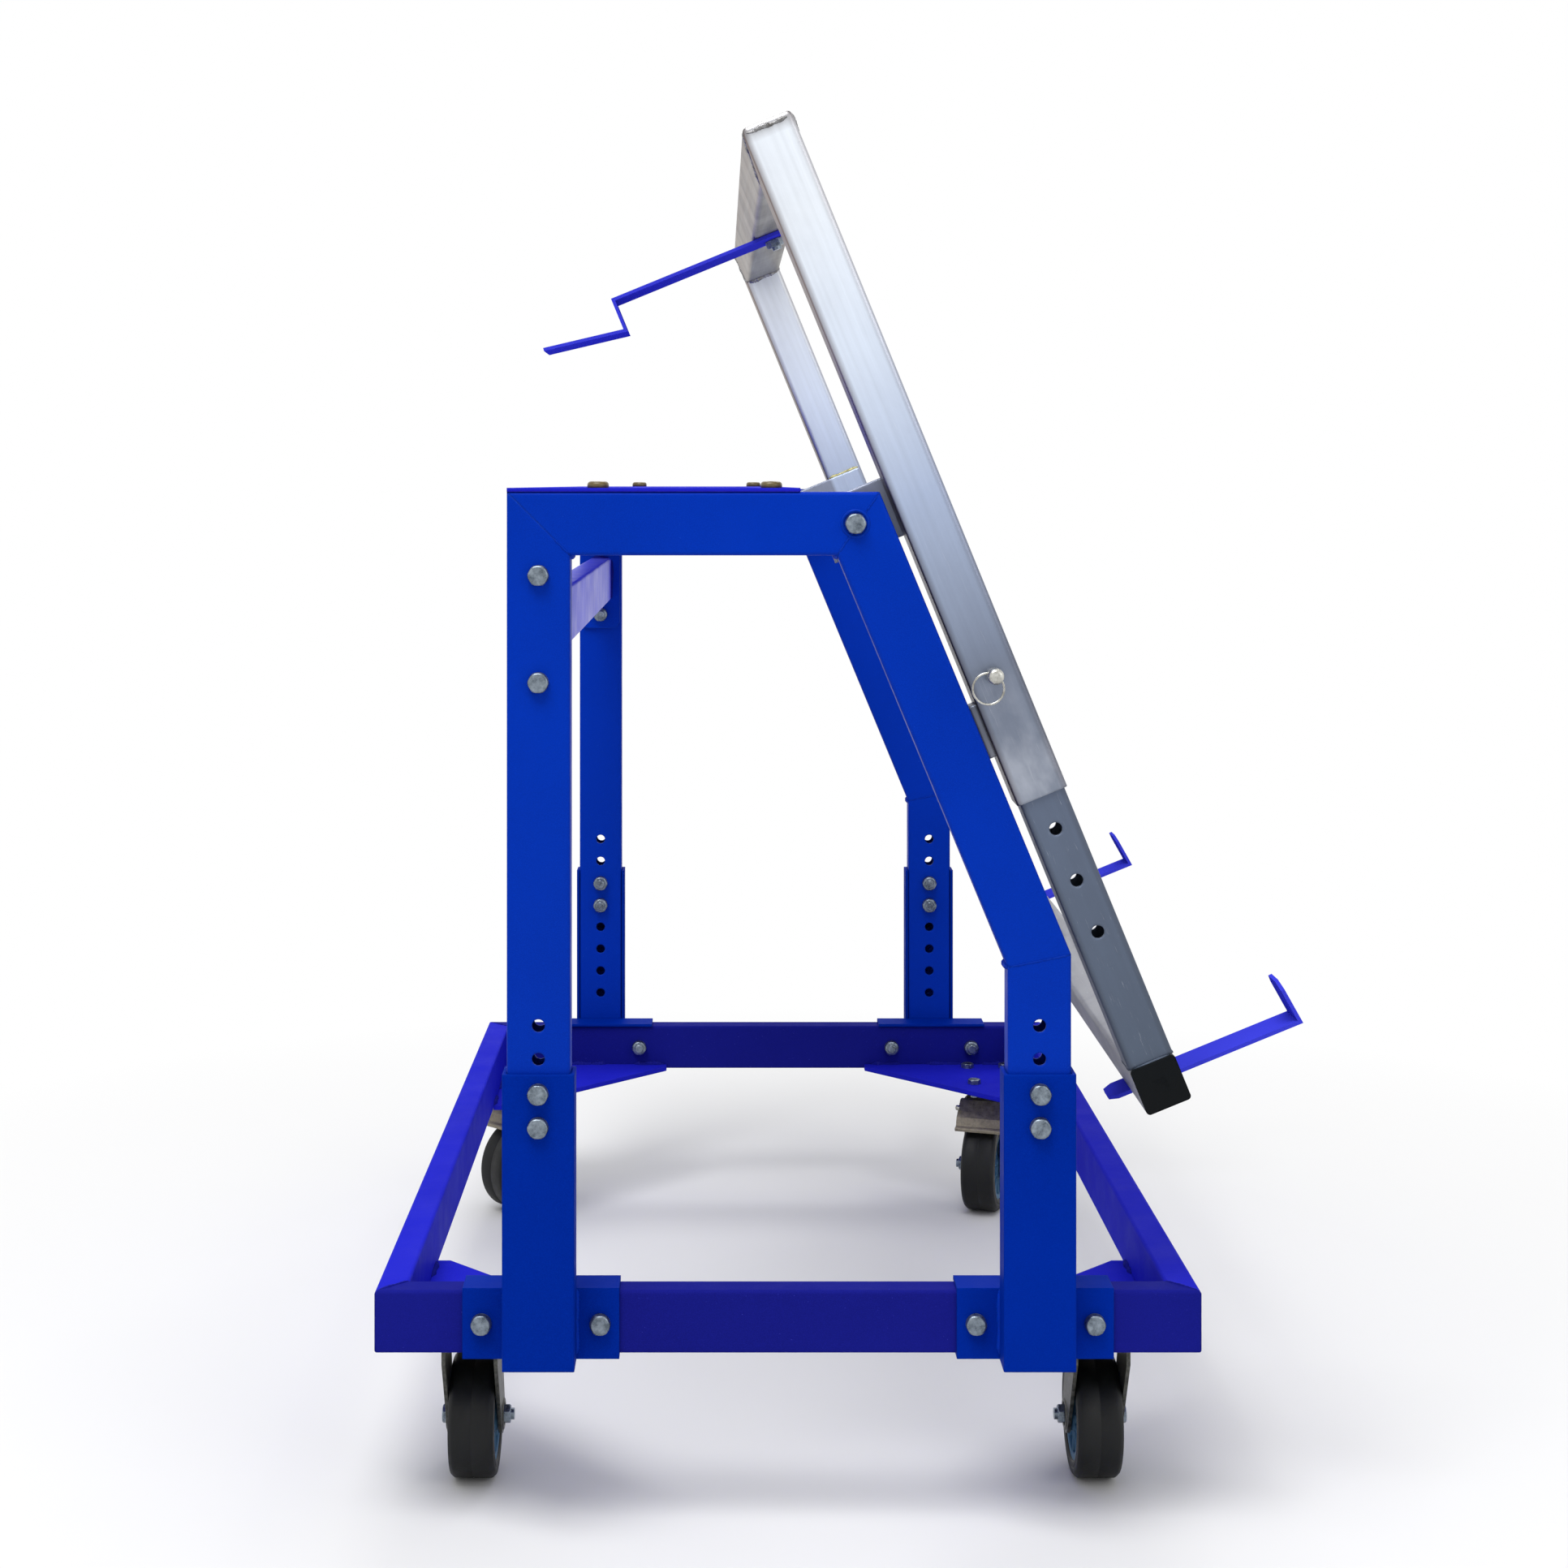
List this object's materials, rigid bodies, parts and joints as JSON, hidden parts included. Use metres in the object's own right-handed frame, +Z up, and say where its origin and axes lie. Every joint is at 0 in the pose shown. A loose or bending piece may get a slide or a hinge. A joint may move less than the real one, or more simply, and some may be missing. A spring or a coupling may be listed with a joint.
{
  "type": "panel cart",
  "caption": "Rolling cart with a tilting, telescoping rack and hooks, which carries a building panel upright and turns it flat over the deck.",
  "frame": {"origin": "on the floor under the middle of the cart's bounding box", "axes": "+X across the cart to the rack's front and its hooks, +Y along the cart to the far end frame, +Z up"},
  "size_m": [0.7656, 1.0728, 1.1469],
  "materials": {
    "base_paint": "semi-gloss",
    "frame_paint": "semi-gloss",
    "hook_paint": "semi-gloss",
    "tube_steel": "brushed",
    "inner_steel": "dull",
    "zinc_steel": "satin",
    "bumper_rubber": "satin",
    "cap_plastic": "satin",
    "tyre_rubber": "satin",
    "wheel_plastic": "satin",
    "pedal_steel": "satin"
  },
  "bodies": {
    "stand": {"base_end_near": "base_paint", "base_end_far": "base_paint", "base_rail_left": "base_paint", "base_rail_right": "base_paint", "corner_plates": "base_paint", "saddles": "frame_paint", "leg_sockets": "frame_paint", "frame_bolts": "zinc_steel", "post_near": "frame_paint", "post_far": "frame_paint", "top_bar_near": "frame_paint", "top_bar_far": "frame_paint", "sloped_leg_near": "frame_paint", "sloped_leg_far": "frame_paint", "lower_leg_near": "frame_paint", "lower_leg_far": "frame_paint", "cross_beam": "base_paint", "beam_end_plates": "base_paint", "top_deck": "base_paint", "bumpers": "bumper_rubber", "pivot_bolts": "zinc_steel", "caster_plates": "zinc_steel", "caster_bolts": "zinc_steel"},
    "rack": {"side_tube_near": "tube_steel", "side_tube_far": "tube_steel", "top_cross_tube": "tube_steel", "pivot_brackets": "tube_steel", "stop_pads": "tube_steel", "top_hook_bolt": "zinc_steel"},
    "clamp_hook": {"top_hook": "hook_paint"},
    "lower_rack": {"inner_tube_near": "inner_steel", "inner_tube_far": "inner_steel", "lower_cross_tube": "inner_steel", "end_caps": "cap_plastic", "bottom_hooks": "hook_paint", "hook_bolts": "zinc_steel"},
    "lock_pin_near": {"lock_pin_near": "zinc_steel"},
    "lock_ring_near": {"lock_ring_near": "zinc_steel"},
    "lock_pin_far": {"lock_pin_far": "zinc_steel"},
    "lock_ring_far": {"lock_ring_far": "zinc_steel"},
    "caster_near_left": {"fork_near_left": "zinc_steel", "axle_near_left": "zinc_steel"},
    "roller_near_left": {"tyre_near_left": "tyre_rubber", "wheel_near_left": "wheel_plastic"},
    "brake_near_left": {"pedal_near_left": "pedal_steel"},
    "caster_near_right": {"fork_near_right": "zinc_steel", "axle_near_right": "zinc_steel"},
    "roller_near_right": {"tyre_near_right": "tyre_rubber", "wheel_near_right": "wheel_plastic"},
    "brake_near_right": {"pedal_near_right": "pedal_steel"},
    "caster_far_left": {"fork_far_left": "zinc_steel", "axle_far_left": "zinc_steel"},
    "roller_far_left": {"tyre_far_left": "tyre_rubber", "wheel_far_left": "wheel_plastic"},
    "brake_far_left": {"pedal_far_left": "pedal_steel"},
    "caster_far_right": {"fork_far_right": "zinc_steel", "axle_far_right": "zinc_steel"},
    "roller_far_right": {"tyre_far_right": "tyre_rubber", "wheel_far_right": "wheel_plastic"},
    "brake_far_right": {"pedal_far_right": "pedal_steel"}
  },
  "joints": [
    {"name": "frame_tilt", "type": "hinge", "parent": "stand", "child": "rack", "pos_m": [0.0053, 0, 0.8156], "axis": [0, -1, 0], "range_deg": [0, 67.75]},
    {"name": "top_hook_swivel", "type": "hinge", "parent": "rack", "child": "clamp_hook", "pos_m": [-0.04937, 0, 1.09684], "axis": [-0.3786, 0, 0.9255], "range_deg": [0, 180]},
    {"name": "lower_frame_slide", "type": "slide", "parent": "rack", "child": "lower_rack", "axis": [-0.3786, 0, 0.9255], "range_m": [0, 0.22225]},
    {"name": "lock_pin_slide_near", "type": "slide", "parent": "rack", "child": "lock_pin_near", "axis": [0, -1, 0], "range_m": [-0.01, 0]},
    {"name": "lock_ring_swing_near", "type": "hinge", "parent": "lock_pin_near", "child": "lock_ring_near", "pos_m": [0.11493, -0.52915, 0.69525], "axis": [-0.866, 0, 0.5], "range_deg": [-12, 90]},
    {"name": "lock_pin_slide_far", "type": "slide", "parent": "rack", "child": "lock_pin_far", "axis": [0, 1, 0], "range_m": [-0.01, 0]},
    {"name": "lock_ring_swing_far", "type": "hinge", "parent": "lock_pin_far", "child": "lock_ring_far", "pos_m": [0.11493, 0.52915, 0.69525], "axis": [0.866, 0, -0.5], "range_deg": [-12, 90]},
    {"name": "swivel_near_left", "type": "hinge", "parent": "stand", "child": "caster_near_left", "pos_m": [-0.3118, -0.403, 0.13], "axis": [0, 0, 1], "continuous": true},
    {"name": "roll_near_left", "type": "hinge", "parent": "caster_near_left", "child": "roller_near_left", "pos_m": [-0.3118, -0.371, 0.0508], "axis": [1, 0, 0], "continuous": true},
    {"name": "brake_near_left", "type": "hinge", "parent": "caster_near_left", "child": "brake_near_left", "pos_m": [-0.3118, -0.389, 0.1172], "axis": [-1, 0, 0], "range_deg": [0, 5]},
    {"name": "swivel_near_right", "type": "hinge", "parent": "stand", "child": "caster_near_right", "pos_m": [0.2162, -0.403, 0.13], "axis": [0, 0, 1], "continuous": true},
    {"name": "roll_near_right", "type": "hinge", "parent": "caster_near_right", "child": "roller_near_right", "pos_m": [0.2162, -0.371, 0.0508], "axis": [1, 0, 0], "continuous": true},
    {"name": "brake_near_right", "type": "hinge", "parent": "caster_near_right", "child": "brake_near_right", "pos_m": [0.2162, -0.389, 0.1172], "axis": [-1, 0, 0], "range_deg": [0, 5]},
    {"name": "swivel_far_left", "type": "hinge", "parent": "stand", "child": "caster_far_left", "pos_m": [-0.3118, 0.403, 0.13], "axis": [0, 0, 1], "continuous": true},
    {"name": "roll_far_left", "type": "hinge", "parent": "caster_far_left", "child": "roller_far_left", "pos_m": [-0.33363, 0.3796, 0.0508], "axis": [-0.7314, 0.682, 0], "continuous": true},
    {"name": "brake_far_left", "type": "hinge", "parent": "caster_far_left", "child": "brake_far_left", "pos_m": [-0.32135, 0.39276, 0.1172], "axis": [0.7314, -0.682, 0], "range_deg": [0, 5]},
    {"name": "swivel_far_right", "type": "hinge", "parent": "stand", "child": "caster_far_right", "pos_m": [0.2162, 0.403, 0.13], "axis": [0, 0, 1], "continuous": true},
    {"name": "roll_far_right", "type": "hinge", "parent": "caster_far_right", "child": "roller_far_right", "pos_m": [0.20684, 0.3724, 0.0508], "axis": [-0.9563, 0.2924, 0], "continuous": true},
    {"name": "brake_far_right", "type": "hinge", "parent": "caster_far_right", "child": "brake_far_right", "pos_m": [0.2121, 0.38961, 0.1172], "axis": [0.9563, -0.2924, 0], "range_deg": [0, 5]}
  ],
  "couplings": [
    {"joint": "top_hook_swivel", "follows": "frame_tilt", "ratio": 2.6568}
  ]
}
